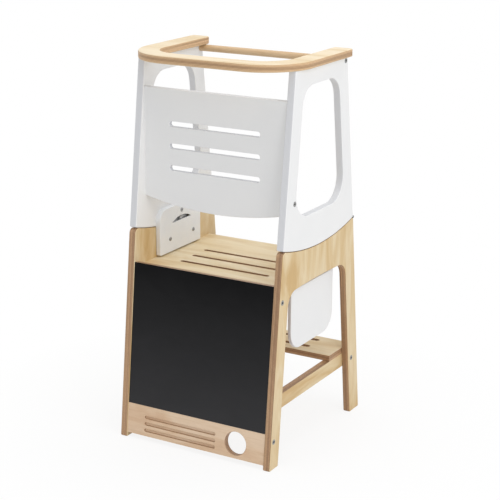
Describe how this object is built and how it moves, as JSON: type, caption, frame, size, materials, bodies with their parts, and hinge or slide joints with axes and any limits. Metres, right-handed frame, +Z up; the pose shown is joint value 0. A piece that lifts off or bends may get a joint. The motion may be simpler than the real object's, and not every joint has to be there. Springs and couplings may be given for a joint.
{
  "type": "high chair",
  "caption": "Child's plywood standing tower: stool with platform, step and chalkboard front under a white frame with guard and U-shaped rail that unlatches and folds over at the back.",
  "frame": {"origin": "on the floor under the middle of the footprint", "axes": "+Z up, -Y towards the chalkboard side, +X towards the side with the hanging flap"},
  "size_m": [0.426, 0.448, 0.9],
  "materials": {
    "birch_plywood": "clear matt lacquer, ply edges showing",
    "white_panel": "satin white paint on plywood",
    "chalkboard_face": "matt black chalkboard paint",
    "round_bar_wood": "clear matt lacquer",
    "dowel_wood": "plain beech",
    "white_plastic": "moulded, fine satin",
    "steel": "zinc plated",
    "lever_steel": "grey pressed steel",
    "cam_zinc": "die-cast",
    "insert_brass": "turned"
  },
  "bodies": {
    "base": {"base_side_right": "birch_plywood", "base_side_left": "birch_plywood", "front_panel": "birch_plywood", "chalkboard": "chalkboard_face", "front_panel_bolts": "steel", "front_panel_inserts": "insert_brass", "platform": "birch_plywood", "platform_dowels": "dowel_wood", "platform_cam_locks": "cam_zinc", "platform_cam_bolts": "steel", "step_board": "birch_plywood", "step_screws": "steel", "stretcher_right": "birch_plywood", "stretcher_left": "birch_plywood", "stretcher_bolts": "steel", "stretcher_inserts": "insert_brass", "stretcher_dowels": "dowel_wood", "strike_pins": "steel", "hinge_lower_leaves": "steel", "hinge_pins": "steel", "hinge_lower_screws": "steel", "flap_hinge_platform_leaves": "steel", "flap_hinge_pins": "steel", "flap_hinge_platform_screws": "steel"},
    "upper_frame": {"hinge_upper_leaves": "steel", "hinge_upper_screws": "steel", "upper_side_right": "white_panel", "upper_side_left": "white_panel", "guard_panel": "white_panel", "guard_bolts": "steel", "guard_inserts": "insert_brass", "guard_dowels": "dowel_wood", "top_rail": "birch_plywood", "rail_dowels": "dowel_wood", "crossbar": "round_bar_wood", "crossbar_bolts": "steel", "crossbar_inserts": "insert_brass", "lock_housing_right": "white_plastic", "lock_housing_left": "white_plastic", "lock_back_plates": "steel", "lock_screws": "steel", "lock_spring_right": "steel", "lock_spring_left": "steel"},
    "latch_left": {"latch_lever_left": "lever_steel"},
    "latch_right": {"latch_lever_right": "lever_steel"},
    "flap": {"flap_panel": "white_panel", "flap_hinge_panel_leaves": "steel", "flap_hinge_panel_screws": "steel"}
  },
  "joints": [
    {"name": "upper_frame_fold", "type": "hinge", "parent": "base", "child": "upper_frame", "pos_m": [0, 0.17444, 0.49639], "axis": [-1, 0, 0], "range_deg": [0, 180]},
    {"name": "latch_left_turn", "type": "hinge", "parent": "upper_frame", "child": "latch_left", "pos_m": [-0.178, 0.0048, 0.5024], "axis": [1, 0, 0], "range_deg": [0, 15], "stiffness_Nm_per_rad": 0.05, "springref_deg": -11.46, "deforming": ["lock_spring_left"]},
    {"name": "latch_right_turn", "type": "hinge", "parent": "upper_frame", "child": "latch_right", "pos_m": [0.178, 0.0048, 0.5024], "axis": [1, 0, 0], "range_deg": [0, 15], "stiffness_Nm_per_rad": 0.05, "springref_deg": -11.46, "deforming": ["lock_spring_right"]},
    {"name": "flap_swing", "type": "hinge", "parent": "base", "child": "flap", "pos_m": [0.1706, 0.005, 0.3853], "axis": [0, 1, 0], "range_deg": [0, 90]}
  ]
}
